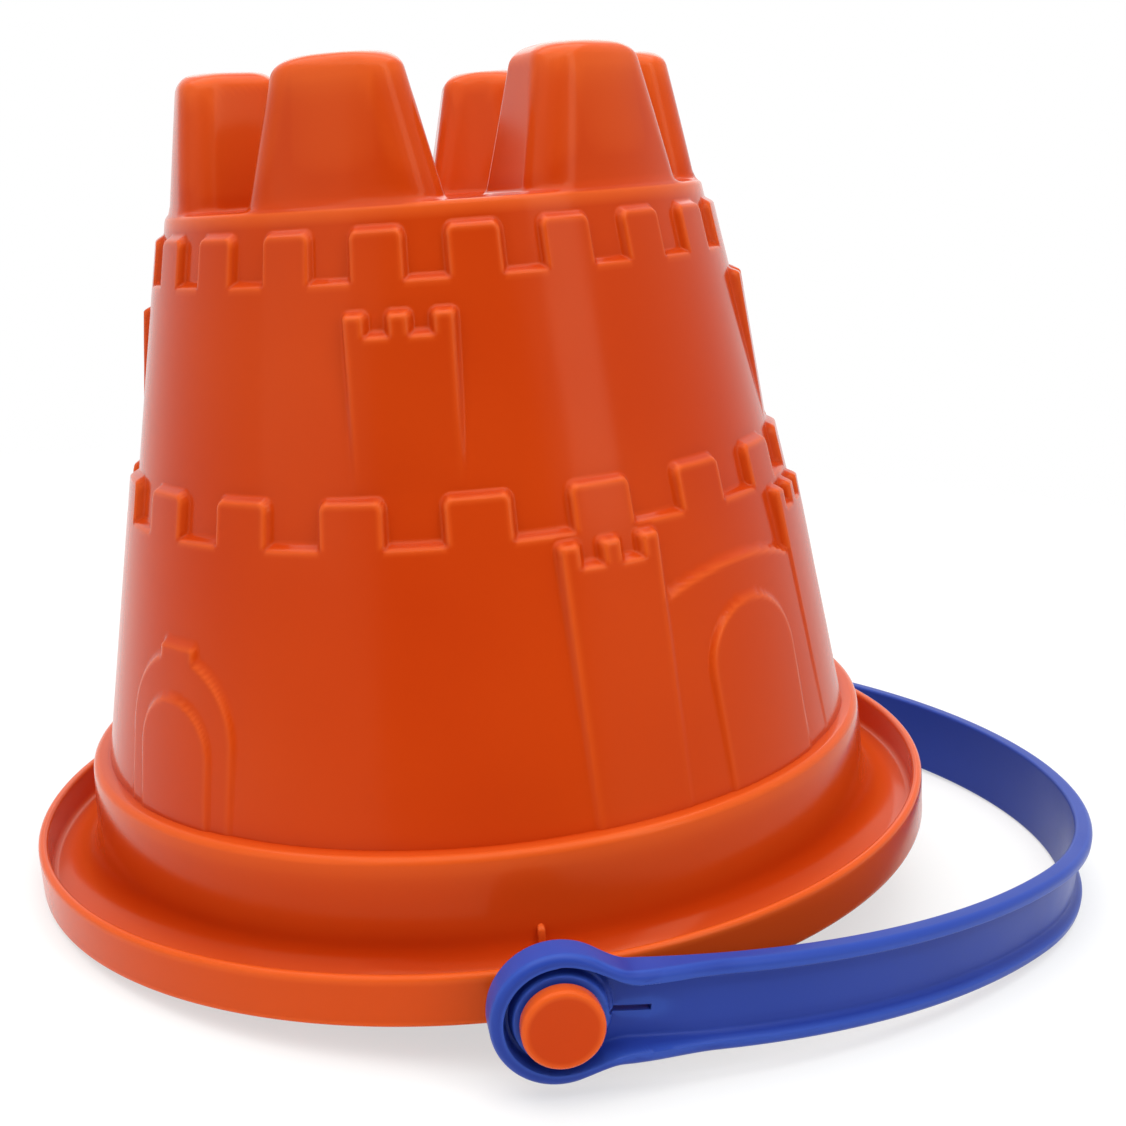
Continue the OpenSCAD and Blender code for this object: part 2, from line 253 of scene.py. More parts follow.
# angle from a centre, wrapped to half a turn either way
def turned(azimuth, centre, turn=360.0):
    return (azimuth - centre + turn / 2) % turn - turn / 2


# points from radius, azimuth and height; azimuth runs from the front, -Y, towards +X
def polar(radius, azimuth, height):
    angle = np.radians(azimuth)
    place = np.broadcast_arrays(radius * np.sin(angle), -radius * np.cos(angle), height)
    return np.stack(place, axis=-1)


castle = {
    "footRadius": 82.6, "footHeight": 25.4, "lean": 0.2, "wall": 2.0,
    "lowerLedge": 78.9, "lowerStep": 1.8, "upperLedge": 125.6, "upperStep": 1.6,
    # the wear sizes on this line measure the wall's worn edges, which also carry a painted highlight
    "edgeRound": 1.5, "steeper": 1.3, "columns": 1080, "wearAndHighlightReach": 1.1, "wearAndHighlightFull": 0.5, "wearAndHighlightRadius": 70.0,
}
# what towers and arches have in common: softness of their edges, corner rounds, how far outlines run on below, and
# how many degrees to either side of a middle are measured
relief = {
    "towerSoft": 1.5, "archSoft": 1.0, "panelSoft": 1.4, "towerCorner": 0.6, "notchCorner": 0.9, "keyCorner": 1.0,
    "below": 20.0, "merlonBelow": 12.0, "sideways": 80.0,
}
lowerMerlons = {"count": 19, "phase": -2.5, "width": 10.1, "top": 87.2, "corner": 1.9}
upperMerlons = {"count": 21, "phase": 1.2, "width": 9.7, "top": 134.5, "corner": 1.9}
middleTowers = {
    "angles": (-12.5, 77.5, 167.5, 257.5), "half": 10.0, "top": 119.9, "notch": 116.1,
    "low": 88.2, "proudLow": 0.0, "proudHigh": 2.2,
}
gateTowers = {
    "angles": (16.1, 61.9, 196.1, 241.9), "half": 10.0, "top": 77.0, "notch": 73.0,
    "low": 22.4, "proudLow": 0.4, "proudHigh": 2.2,
}
gateArch = {
    "angles": (39.0, 219.0), "half": 25.1, "rise": 6.0, "innerHalf": 13.4, "innerSpring": 47.3, "high": 68.1,
    "low": 22.4, "proudLow": 0.3, "proudHigh": 1.4, "innerLow": 0.7, "innerHigh": 2.6,
}
doorArch = {
    "angles": (-52.5, 127.5), "half": 16.6, "spring": 40.9, "keyHalf": 5.4, "keyTop": 59.3,
    "innerHalf": 11.4, "innerSpring": 38.2, "high": 68.1,
    "low": 22.4, "proudLow": 0.3, "proudHigh": 1.4, "innerLow": 0.7, "innerHigh": 2.6,
}


# distance in from the outline of the nearest merlon; its sides are made a little steeper than its top
def merlonDepth(azimuth, height, ring, radius, ledge):
    steeper = castle["steeper"]
    offset = np.radians(turned(azimuth, ring["phase"], 360 / ring["count"])) * radius
    half = math.radians(ring["width"] / 2) * radius
    base = ledge - relief["merlonBelow"]
    return boxDepth(offset * steeper, height, half * steeper, base, ring["top"], ring["corner"])


# how far relief stands out at a height: a straight ramp from its low value up to its high one
def proudAt(height, low, high, proudLow, proudHigh):
    return np.maximum(proudLow + (proudHigh - proudLow) * (height - low) / (high - low), 0)


# distance across the wall from a middle line, as seen from straight in front of it
def acrossWall(azimuth, middle, radius):
    turn = np.clip(turned(azimuth, middle), -relief["sideways"], relief["sideways"])
    return radius * np.sin(np.radians(turn))


# relief of a ring of towers: a rectangle with three merlons, each a fifth of its width, standing out most at its top
def towerRelief(azimuth, height, tower, radius, inset):
    proud = proudAt(height, tower["low"], tower["top"], tower["proudLow"], tower["proudHigh"])
    tallest, merlonHalf, base = 0, tower["half"] / 5, tower["low"] - relief["below"]
    for angle in tower["angles"]:
        x = acrossWall(azimuth, angle, radius)
        depth = boxDepth(x, height, tower["half"], base, tower["notch"], relief["towerCorner"])
        for side in (-1, 0, 1):
            offset = x - side * (tower["half"] - merlonHalf)
            merlon = boxDepth(offset, height, merlonHalf, base, tower["top"], relief["notchCorner"])
            depth = np.maximum(depth, merlon)
        tallest = np.maximum(tallest, proud * softEdge(depth - inset, relief["towerSoft"]))
    return tallest


# distance in from a round-headed panel: straight sides up to its spring, a half circle over it
def panelDepth(x, height, half, spring):
    return half - np.hypot(x, np.maximum(height - spring, 0))


# distance in from a gate's outer outline: straight sides under a shallow bow
def gateDepth(x, height):
    g = gateArch
    bow = (g["half"] ** 2 + g["rise"] ** 2) / (2 * g["rise"])
    return np.minimum(g["half"] - np.abs(x), bow - np.hypot(x, height - (g["high"] - bow)))


# distance in from a door's outer outline: a round head and the keystone over it
def doorDepth(x, height):
    d = doorArch
    key = boxDepth(x, height, d["keyHalf"], d["low"] - relief["below"], d["keyTop"], relief["keyCorner"])
    return np.maximum(panelDepth(x, height, d["half"], d["spring"]), key)


# relief of the gates or doors: the outer outline and, standing out further, the round-headed panel inside it
def archRelief(azimuth, height, arch, outline, radius, inset):
    outer = proudAt(height, arch["low"], arch["high"], arch["proudLow"], arch["proudHigh"])
    inner = proudAt(height, arch["low"], arch["high"], arch["innerLow"], arch["innerHigh"])
    tallest = 0
    for angle in arch["angles"]:
        x = acrossWall(azimuth, angle, radius)
        panel = panelDepth(x, height, arch["innerHalf"], arch["innerSpring"])
        tallest = np.maximum(tallest, outer * softEdge(outline(x, height) - inset, relief["archSoft"]))
        tallest = np.maximum(tallest, inner * softEdge(panel - inset, relief["panelSoft"]))
    return tallest


# bare leaning cone of the top storey at any height
def coneRadius(height):
    steps = castle["lowerStep"] + castle["upperStep"]
    return castle["footRadius"] - castle["lean"] * (height - castle["footHeight"]) - steps


# radius of the castle wall: the cone, one step out for each storey below, and the tallest relief there;
# inset draws every outline in to give the inside face
def wallRadius(azimuth, height, inset):
    c = castle
    cone = coneRadius(height)
    upper = merlonDepth(azimuth, height, upperMerlons, cone + c["upperStep"], c["upperLedge"])
    lower = merlonDepth(azimuth, height, lowerMerlons, cone + c["upperStep"] + c["lowerStep"], c["lowerLedge"])
    upper = np.maximum(upper, c["upperLedge"] - height) - inset
    lower = np.maximum(lower, c["lowerLedge"] - height) - inset
    steps = c["upperStep"] * softEdge(upper, c["edgeRound"]) + c["lowerStep"] * softEdge(lower, c["edgeRound"])
    radius = cone + steps
    tallest = 0
    for tower in (middleTowers, gateTowers):
        tallest = np.maximum(tallest, towerRelief(azimuth, height, tower, radius, inset))
    for arch, outline in ((gateArch, gateDepth), (doorArch, doorDepth)):
        tallest = np.maximum(tallest, archRelief(azimuth, height, arch, outline, radius, inset))
    return radius + tallest - inset * math.hypot(1, c["lean"])


# places in runs of their own spacing: stops holds the ends of the runs, gaps the spacing of each
def spacedRuns(stops, gaps):
    runs = [np.linspace(a, b, max(int(round((b - a) / gap)), 1), endpoint=False)
            for a, b, gap in zip(stops[:-1], stops[1:], gaps)]
    return np.concatenate(runs + [np.array(stops[-1:])])


# one storey's band of wall as a closed ring, outside face up and inside face down, and the wear and painted highlight
# of each point:
# how far the outside stands out from the mean of four spots a little way off
def wallBand(outside, inside):
    c = castle
    azimuth = np.arange(c["columns"])[None, :] * 360 / c["columns"]
    front = outside[:, None]
    radius = wallRadius(azimuth, front, 0)
    face = polar(radius, azimuth, front)
    back = inside[::-1, None]
    lining = polar(wallRadius(azimuth, back, c["wall"]), azimuth, back)
    grid = np.concatenate([face, lining])
    index = numbered(len(grid), c["columns"], True, True)
    reach, swing = c["wearAndHighlightReach"], math.degrees(c["wearAndHighlightReach"] / c["wearAndHighlightRadius"])
    around = (wallRadius(azimuth + swing, front, 0) + wallRadius(azimuth - swing, front, 0)
              + wallRadius(azimuth, front + reach, 0) + wallRadius(azimuth, front - reach, 0)) / 4
    wearAndPaintedLight = np.clip((radius - around) / c["wearAndHighlightFull"], 0, 1)
    wearAndPaintedLight = np.concatenate([wearAndPaintedLight, np.zeros(lining.shape[:2])]).ravel()
    return closedPart(grid.reshape(-1, 3), gridFaces(index)), wearAndPaintedLight


# each storey's rows: the ends of their runs and the spacing in each run, outside and then inside
bands = {
    "wall_lower": ([24.0, 71.0], [0.72], [24.0, 71.0], [2.6]),
    "battlement_lower": ([71.0, 79.6, 85.2, 88.6, 92.0], [0.32, 0.62, 0.26, 0.8],
                         [71.0, 78.0, 84.0, 87.5, 92.0], [0.7, 1.2, 0.7, 1.5]),
    "wall_middle": ([92.0, 114.0], [0.75], [92.0, 114.0], [2.0]),
    "battlement_upper": ([114.0, 121.0, 124.4, 127.0, 132.0, 135.5], [0.36, 0.7, 0.26, 0.62, 0.28],
                         [114.0, 119.0, 123.0, 126.0, 131.0, 135.5], [0.9, 1.0, 0.6, 1.0, 0.6]),
}
for bandName, (stops, gaps, backStops, backGaps) in bands.items():
    band, bandWearAndHighlight = wallBand(spacedRuns(stops, gaps), spacedRuns(backStops, backGaps))
    stands = "bucket" if bandName == "wall_lower" else None
    makePiece(bandName, [band], "bucket", orange, stands, bandWearAndHighlight)


turrets = {
    "shelf": 138.6, "outer": 55.66, "inner": 27.16, "high": 27.2, "lean": 0.17, "edge": 4.0, "corner": 6.5,
    "footRound": 1.5, "flankLean": 0.21, "innerCorner": 3.5,
    "count": 6, "phase": 5.8, "gapHalf": 7.9, "spread": 1.8, "start": 135.5, "shelfEdge": 1.2, "wall": 2.0,
    "flankFrom": 2.3, "flankTo": 14.0, "columnGaps": (1.6, 0.32, 1.2),
    "rows": (1.5, 26.6, 35.5, 46.5, 50.6, 55.6), "rowGaps": (4.0, 0.38, 1.0, 0.42, 0.3),
    "backRows": (1.5, 26.6, 36.0, 46.0), "backEdge": 0.8, "backGaps": (5.0, 0.9, 1.4, 0.7), "backBevel": (0.2, 0.3),
    # this line: where measured wear and painted highlight begin to show, then the painted light on the shaded turret
    # flanks
    "calmFrom": 137.0, "calmTo": 137.5, "paintedLightShare": 0.6, "paintedLightStart": 0.2,
}


# distances in from the turret's ring faces and from its radial flanks; the flanks lean further than the faces, so
# their distance counts for less, and the gaps at the front and back are the widest
def turretSides(radius, azimuth):
    t = turrets
    shifted = azimuth - t["spread"] * np.sin(np.radians(2 * (azimuth - t["phase"])))
    aside = np.abs(turned(shifted, t["phase"], 360 / t["count"]))
    flankDepth = radius * np.sin(np.radians(aside - t["gapHalf"])) * t["lean"] / t["flankLean"]
    return np.minimum(t["outer"] - radius, radius - t["inner"]), flankDepth


# distance in from the turret's outline: the nearer of ring face and flank, with corners of one radius to the top
def turretDepth(radius, azimuth):
    t = turrets
    ringDepth, flankDepth = turretSides(radius, azimuth)
    corner = np.where(radius > (t["outer"] + t["inner"]) / 2, t["corner"], t["innerCorner"])
    apart = np.abs(ringDepth - flankDepth)
    rounded = (ringDepth + flankDepth) / 2 - corner + np.sqrt(np.maximum(2 * corner ** 2 - apart ** 2, 0)) / 2
    return np.where(apart < corner, rounded, np.minimum(ringDepth, flankDepth))


# azimuths of the crown's columns: close together over the flanks, wide in the gaps and on the middles
def crownAzimuths():
    t = turrets
    pitch = 360 / t["count"]
    half = spacedRuns([0, t["gapHalf"] - t["flankFrom"], t["gapHalf"] + t["flankTo"], pitch / 2], t["columnGaps"])
    sector = np.concatenate([half, pitch - half[::-1][1:-1]])
    return (t["phase"] + np.add.outer(pitch * np.arange(t["count"]), sector)).ravel()[None, :]


# height of a turret over its shelf: a small hollow round at its foot, a steep face, a quarter round, then level
def turretRise(depth, bend):
    t = turrets
    steep, foot = math.hypot(1, t["lean"]), t["footRound"]
    footMiddle = -foot * (steep - t["lean"])
    hollow = foot - np.sqrt(np.clip(foot ** 2 - (depth - footMiddle) ** 2, 0, None))
    middle = t["lean"] * (t["high"] - bend) + bend * steep
    rounding = t["high"] - bend + np.sqrt(np.clip(bend ** 2 - (depth - middle) ** 2, 0, None))
    stages = [depth < footMiddle, depth < footMiddle + foot / steep, depth < middle - bend / steep, depth < middle]
    return np.select(stages, [0, hollow, depth / t["lean"], rounding], t["high"])


# arc of radius and height pairs round a centre, angles in degrees
def arc(centre, radius, start, end, count):
    angle = np.radians(np.linspace(start, end, count))
    return np.stack([centre[0] + radius * np.cos(angle), centre[1] + radius * np.sin(angle)], axis=1)


# crown: the shelf, the hollow turrets standing on it and the ceiling inside, from middle to middle
def crownPart():
    t = turrets
    azimuth = crownAzimuths()
    inward = spacedRuns(t["rows"], t["rowGaps"])
    bend = t["shelfEdge"]
    bendHeight = t["shelf"] - bend
    bendRadius = coneRadius(bendHeight) - bend * math.hypot(1, castle["lean"])
    shoulder = arc((bendRadius, bendHeight), bend, 78, 11.3, 6)
    foot = np.array([[coneRadius(t["start"]), t["start"]]])
    level = np.stack([inward, np.full(len(inward), t["shelf"])], axis=1)
    outside = np.concatenate([level[level[:, 0] < bendRadius], shoulder, foot])
    rise = turretRise(turretDepth(outside[:, :1], azimuth), t["edge"])
    top = polar(outside[:, :1], azimuth, outside[:, 1:] + rise)
    # the ceiling lies one wall lower and its pockets one wall in, measured square to the leaning faces
    across = t["wall"] * (math.hypot(1, t["lean"]) - t["lean"])
    ceiling = t["shelf"] - t["wall"]
    backFoot = coneRadius(t["start"]) - t["wall"] * math.hypot(1, castle["lean"])
    back = spacedRuns([*t["backRows"], backFoot - t["backEdge"]], t["backGaps"])[::-1]
    bevel = [backFoot - t["backBevel"][0], ceiling - t["backBevel"][1]]
    inside = np.concatenate([
        [[backFoot, t["start"]], bevel], np.stack([back, np.full(len(back), ceiling)], axis=1)])
    pocket = turretRise(turretDepth(inside[:, :1], azimuth) - across, t["edge"] - t["wall"])
    under = polar(inside[:, :1], azimuth, inside[:, 1:] + pocket)
    return tippedPart(np.concatenate([top, under]))


# painted light on the crown: the shaded flanks and inner faces of the turrets are painted paler, as if their thin
# walls had light on both sides
def crownPaintedLight(points):
    t = turrets
    azimuth = np.degrees(np.arctan2(points[:, 0], -points[:, 1]))
    radius = np.hypot(points[:, 0], points[:, 1])
    ringDepth, flankDepth = turretSides(radius, azimuth)
    flank = np.clip((ringDepth - flankDepth) / t["corner"] + t["paintedLightStart"], 0, 1)
    inside = np.clip(((t["outer"] + t["inner"]) / 2 - radius) / t["corner"], 0, 1)
    return t["paintedLightShare"] * np.maximum(flank, inside) * np.clip((points[:, 2] - t["shelf"]) / t["edge"], 0, 1)


# share of the crown's measured wear and painted highlight that shows: none near the joint with the wall below, all
# over the shelf's edge
def crownCalm(points):
    t = turrets
    return np.clip((points[:, 2] - t["calmFrom"]) / (t["calmTo"] - t["calmFrom"]), 0, 1)


makePiece("turret_crown", [crownPart()], "bucket", orange, calm=crownCalm, glow=crownPaintedLight)


rim = {
    "radius": 100.0, "lipHeight": 9.7, "wall": 2.0, "floor": 2.0, "collarTop": 25.4, "collarRadius": 86.3,
    "collarLean": 0.06, "crestRound": 1.6, "gutterFillet": 7.5, "lipFillet": 1.4, "heel": 0.7, "columns": 540,
    "rootRadius": 81.5, "rootUnder": 23.4, "collarRun": (22.5, 10.0), "lipInsideRun": (4.2, 8.1),
    "lipOutsideRun": (7.9, 1.2), "underFrom": 98.0, "liningRun": (2.0, 21.8), "liningTop": 22.0, "liningRound": 1.4,
    # this line: where measured wear and painted highlight begin to show, then where and how strongly the shaded gutter
    # and lip are painted paler
    "calmRadius": 83.0, "calmRun": 1.0, "paintedLightFrom": 87.5, "paintedLightTo": 90.5, "paintedLightShare": 0.55,
}


# spot on the leaning collar at a height, a wall's thickness further in for its lining
def collarSpot(height, inset=0.0):
    return rim["collarRadius"] + rim["collarLean"] * (rim["collarTop"] - height) - inset, height


# rim: one closed outline of collar, gutter, lip and underside, spun round the axis
def rimPart():
    r = rim
    crest, gutter, fillet, heel = r["crestRound"], r["gutterFillet"], r["lipFillet"], r["heel"]
    top, crestRadius, gutterTop = r["collarTop"], r["collarRadius"] - crest, r["floor"] + gutter
    lipInside, lipRound = r["radius"] - r["wall"], r["wall"] / 2
    underEnd = collarSpot(0, r["wall"])[0] + heel
    liningRadius = collarSpot(r["liningTop"], r["wall"])[0] - r["liningRound"]
    outline = np.concatenate([
        np.linspace((r["rootRadius"], top), (crestRadius, top), 6),
        arc((crestRadius, top - crest), crest, 80, 4, 8),
        np.linspace(*[collarSpot(height) for height in r["collarRun"]], 12),
        arc((collarSpot(gutterTop)[0] + gutter, gutterTop), gutter, 180, 270, 16),
        arc((lipInside - fillet, r["floor"] + fillet), fillet, 270, 360, 8),
        np.linspace(*[(lipInside, height) for height in r["lipInsideRun"]], 4),
        arc((r["radius"] - lipRound, r["lipHeight"] - lipRound), lipRound, 180, 0, 12),
        np.linspace(*[(r["radius"], height) for height in r["lipOutsideRun"]], 6),
        arc((r["radius"] - heel, heel), heel, 0, -90, 6),
        np.linspace((r["underFrom"], 0), (underEnd, 0), 8),
        arc((underEnd, heel), heel, 270, 180, 5)[1:],
        np.linspace(*[collarSpot(height, r["wall"]) for height in r["liningRun"]], 12),
        arc((liningRadius, r["liningTop"]), r["liningRound"], 5, 90, 6),
        [[r["rootRadius"], r["rootUnder"]]],
    ])
    azimuth = np.arange(r["columns"])[None, :] * 360 / r["columns"]
    grid = polar(outline[:, :1], azimuth, outline[:, 1:])
    index = numbered(len(grid), r["columns"], True, True)
    return closedPart(grid.reshape(-1, 3), gridFaces(index))


# painted light on the rim: none under the wall's foot, then the shaded gutter and the lip are painted a little paler,
# as if their thin sheet had light on both sides
def rimPaintedLight(points):
    r = rim
    reach = np.hypot(points[:, 0], points[:, 1])
    return r["paintedLightShare"] * np.clip((reach - r["paintedLightFrom"]) / (r["paintedLightTo"] - r["paintedLightFrom"]), 0, 1)


# share of the rim's measured wear and painted highlight that shows: none under the wall's foot, all further out
def rimCalm(points):
    r = rim
    return np.clip((np.hypot(points[:, 0], points[:, 1]) - r["calmRadius"]) / r["calmRun"], 0, 1)


makePiece("rim", [rimPart()], "bucket", orange, calm=rimCalm, glow=rimPaintedLight)


stud = {
    "height": 4.85, "root": 98.4, "core": 0.8, "bevel": 0.4, "shaft": 4.5, "shaftMiddle": 104.0, "fillet": 0.3,
    "headInside": 110.05, "headOutside": 113.45, "head": 7.2, "headFlat": 6.4, "backRound": 0.5, "round": 0.9,
    "dish": 0.25, "dishEdge": 0.6, "columns": 96,
}


# stud: shaft, head with a rounded edge and a faintly dished face, spun round the hinge line
def studPart(side):
    s = stud
    root, shaft, bevel, fillet, back = s["root"], s["shaft"], s["bevel"], s["fillet"], s["headInside"]
    face, edge, backEdge = s["headOutside"], s["round"], s["backRound"]
    dish = np.linspace(s["head"] - edge - s["dishEdge"], s["dishEdge"], 8)
    outline = np.concatenate([
        [[s["core"], root], [shaft - bevel, root], [shaft, root + bevel], [shaft, s["shaftMiddle"]]],
        [[shaft, back - fillet], [shaft + fillet, back], [s["headFlat"], back]],
        arc((s["head"] - backEdge, back + backEdge), backEdge, -90, 0, 5),
        arc((s["head"] - edge, face - edge), edge, 0, 85, 8),
        np.stack([dish, face - s["dish"] * (1 - (dish / s["head"]) ** 2)], axis=1),
    ])
    turn = np.arange(s["columns"])[None, :] * 2 * np.pi / s["columns"]
    radius, along = outline[:, :1], outline[:, 1:]
    place = np.broadcast_arrays(radius * np.cos(turn), side * along, s["height"] + radius * np.sin(turn))
    return tippedPart(np.stack(place, axis=-1))


rib = {
    "spot": (0.4, 86.6), "foot": 1.2, "top": 11.4, "half": 0.75, "proud": 1.9, "squareness": 0.4, "columns": 48,
    "capFrom": 0.9, "capTurn": (0.2, 1.4),
}


# rib behind the stud: an upright on the collar's foot, a rounded oblong in plan that closes in to its top
def ribPart(side):
    r = rib
    turn = np.arange(r["columns"])[None, :] * 2 * np.pi / r["columns"]
    plan = [np.sign(wave(turn)) * np.abs(wave(turn)) ** r["squareness"] for wave in (np.cos, np.sin)]
    cap = 1 - r["capFrom"]
    capRise = r["capFrom"] + cap * np.sin(np.linspace(*r["capTurn"], 6))
    rise = np.concatenate([np.linspace(0, r["capFrom"], 10), capRise])[:, None]
    shrink = np.sqrt(1 - np.clip((rise - r["capFrom"]) / cap, 0, 1) ** 2)
    x = r["spot"][0] + r["half"] * shrink * plan[0]
    y = side * (r["spot"][1] + r["proud"] * shrink * plan[1])
    return tippedPart(np.stack(np.broadcast_arrays(x, y, r["foot"] + rise * (r["top"] - r["foot"])), axis=-1))


makePiece("studs", [studPart(-1), studPart(1), ribPart(-1), ribPart(1)], "bucket", orange)


handle = {
    "hinge": 4.85, "droop": 9.4, "inside": 103.8, "halfThick": 2.0, "half": 8.7, "eye": 12.1, "bore": 4.65,
    "thick": 4.0, "eyeThick": 6.6, "web": 2.0, "bead": 2.9, "beadSide": 1.3, "hub": 8.3, "hubHeight": 5.9,
    "grooveEdge": 9.4, "grooveHeight": 3.4, "edge": 1.4, "backEdge": 0.8, "neck": 2.2,
    "slitHalf": 0.55, "slitStart": 8.9, "slitEnd": 16.6, "rampFrom": 9.0, "rampTo": 30.0,
    "reach": 1.324, "endShare": 0.81, "turns": 150, "rows": 48, "across": 30, "legSteps": 90, "endSteps": 120,
    "grooveSide": 0.6, "crowding": 1.4, "searchFrom": 9.0, "searchTo": 30.0, "halvings": 40,
}
# the strap follows two leg arcs and an end arc that meet smoothly
legOffset = handle["inside"] + handle["halfThick"]
endRadius = handle["endShare"] * legOffset
endShift = handle["reach"] * legOffset - endRadius
legRadius = (endShift ** 2 / (legOffset - endRadius) + endRadius + legOffset) / 2
legShift = legRadius - legOffset
joinAngle = math.atan2(legShift, endShift)


# distance in from the outline of eye and strap together, with a fillet where they meet
def handleDepth(x, w):
    h = handle
    disc = np.hypot(x, w) - h["eye"]
    band = np.maximum(np.abs(w) - h["half"], -x)
    neck = h["neck"]
    merged = np.hypot(np.maximum(neck - disc, 0), np.maximum(neck - band, 0))
    return merged - np.maximum(neck, np.minimum(disc, band))


# drop of a rounded edge at a distance in from the outline
def edgeDrop(depth, bend):
    near = np.clip(bend - depth, 0, bend)
    return bend - np.sqrt(bend ** 2 - near ** 2)


# 0 at the start of a run and 1 at its end, level at both
def easeIn(value, start, end):
    share = np.clip((value - start) / (end - start), 0, 1)
    return share * share * (3 - 2 * share)


# height of the outer face over the inner one: a bead along the outline and the web inside it,
# both ramped down from the thicker eye, and the eye's groove and hub
def faceHeight(depth, along, reach):
    h = handle
    ramp = 1 - easeIn(along, h["rampFrom"], h["rampTo"])
    thick = h["thick"] + (h["eyeThick"] - h["thick"]) * ramp
    beadHeight = thick - edgeDrop(depth, h["edge"])
    height = beadHeight + (h["web"] - thick) * softEdge(depth - h["bead"], h["beadSide"])
    inGroove = softEdge(h["grooveEdge"] - reach, h["grooveSide"])
    height = height + (h["grooveHeight"] - height) * inGroove
    hub = softEdge(h["hub"] - reach, h["grooveSide"])
    return height + (h["hubHeight"] - height) * hub


# carries strap sizes (along, across, out) onto the front leg and then turns the whole handle by its droop
def placeHandle(x, w, out, side):
    lift = legRadius - handle["halfThick"] + out
    angle = np.maximum(x, 0) / legRadius
    along = np.where(x > 0, lift * np.sin(angle), x)
    return turnHandle(along, side * (lift * np.cos(angle) - legShift), w)


# turns handle points about the hinge line, so that +X tips downwards
def turnHandle(x, y, w):
    droop = math.radians(handle["droop"])
    cos, sin = math.cos(droop), math.sin(droop)
    return np.stack(np.broadcast_arrays(x * cos + w * sin, y, handle["hinge"] - x * sin + w * cos), axis=-1)


# places across one half of the strap, from the slit's edge out to the outline, crowded towards the outline
def halfAcross():
    h = handle
    share = np.sin(np.linspace(0, np.pi / 2, h["across"]))
    return h["slitHalf"] + (h["half"] - h["slitHalf"]) * share


# one end of the handle as rows from the bore out to the outline, outer face out and inner face back;
# the first and last columns part along the slit and are one before it, and the outermost row starts and ends on
# the strap's first section
def eyeGrid(side):
    h = handle
    across = halfAcross()
    cut = np.arctan2(across, h["slitEnd"])
    bend = np.linspace(cut[-1], 2 * np.pi - cut[-1], h["turns"])[1:-1]
    # the outline's distance from the hinge in each direction, by halving
    near, far = np.full(bend.shape, h["searchFrom"]), np.full(bend.shape, h["searchTo"])
    for _ in range(h["halvings"]):
        middle = (near + far) / 2
        x, w = middle * np.cos(bend), middle * np.sin(bend)
        inside = (handleDepth(x, w) > 0) & (x < h["slitEnd"])
        near, far = np.where(inside, middle, near), np.where(inside, far, middle)
    straight = np.hypot(across, h["slitEnd"])
    outer = np.concatenate([cut, bend, 2 * np.pi - cut[::-1]])[None, :]
    edge = np.concatenate([straight, near, straight[::-1]])[None, :]
    # rows crowd towards the outline
    share = 1 - (1 - np.linspace(0, 1, h["rows"])[:, None]) ** h["crowding"]
    reach = h["bore"] + (edge - h["bore"]) * share
    opened = reach[:, :1] > h["slitStart"]
    slitTurn = np.where(opened, np.arcsin(h["slitHalf"] / reach[:, :1]), 0)
    turn = (outer - cut[0]) / (1 - cut[0] / np.pi)
    angle = slitTurn + turn * (1 - slitTurn / np.pi)
    x, w = reach * np.cos(angle), reach * np.sin(angle)
    depth = np.maximum(handleDepth(x, w), 0)
    top = placeHandle(x, w, faceHeight(depth, x, reach), side)
    bottom = placeHandle(x, w, edgeDrop(depth, h["backEdge"]), side)[::-1]
    return np.concatenate([top, bottom]), opened[:, 0]


# faces of one end: both faces of the grid, the bore, the outline and the slit's two walls; the strap's section
# is left open, so the last row takes part only in the outline
def eyeFaces(opened, offset):
    h = handle
    rows, width = h["rows"], h["across"]
    columns = 2 * width + h["turns"] - 2
    index = numbered(2 * rows, columns, True, False)
    joined = np.concatenate([~opened, ~opened[::-1], [True]])
    index[joined, -1] = index[joined, 0]
    faces = gridFaces(index).reshape(2 * rows, columns - 1, 4)
    keep = np.ones(faces.shape[:2], bool)
    keep[rows - 1, :width - 1] = keep[rows - 1, -(width - 1):] = False
    slit = np.arange(int(np.argmax(opened)) - 1, rows - 1)
    mirror = 2 * rows - 1 - slit
    walls = []
    for c, flip in ((0, 1), (-1, -1)):
        wall = np.stack([index[slit, c], index[slit + 1, c], index[mirror - 1, c], index[mirror, c]], axis=-1)
        walls.append(wall[:, ::flip])
    return np.vstack([faces[keep]] + walls) + offset


# strap: the outer and inner faces of its section carried along the leg and end arcs
def strapGrid():
    h = handle
    start = h["slitEnd"] / legRadius
    legAngle = np.linspace(start - np.pi / 2, -joinAngle, h["legSteps"], endpoint=False)
    endAngle = np.linspace(-joinAngle, joinAngle, h["endSteps"])
    angle = np.concatenate([legAngle, endAngle, -legAngle[::-1]])[:, None]
    nearJoin = 1e-9
    onLeg = np.abs(angle) > joinAngle + nearJoin
    bend = np.where(onLeg, legRadius, endRadius)
    middleX = np.where(onLeg, 0, endShift)
    middleY = np.where(onLeg, -legShift * np.sign(angle), 0)
    half = halfAcross()
    w = np.concatenate([-half[::-1], half])
    depth = h["half"] - np.abs(w)
    along = legRadius * (np.pi / 2 - np.abs(angle))
    face = faceHeight(depth[None, :], along, np.hypot(along, w[None, :]))
    back = np.broadcast_to(edgeDrop(depth, h["backEdge"])[::-1], face.shape)
    lift = bend - h["halfThick"] + np.concatenate([face, back], axis=1)
    wide = np.concatenate([w, w[::-1]])[None, :]
    return turnHandle(middleX + lift * np.cos(angle), middleY + lift * np.sin(angle), wide)


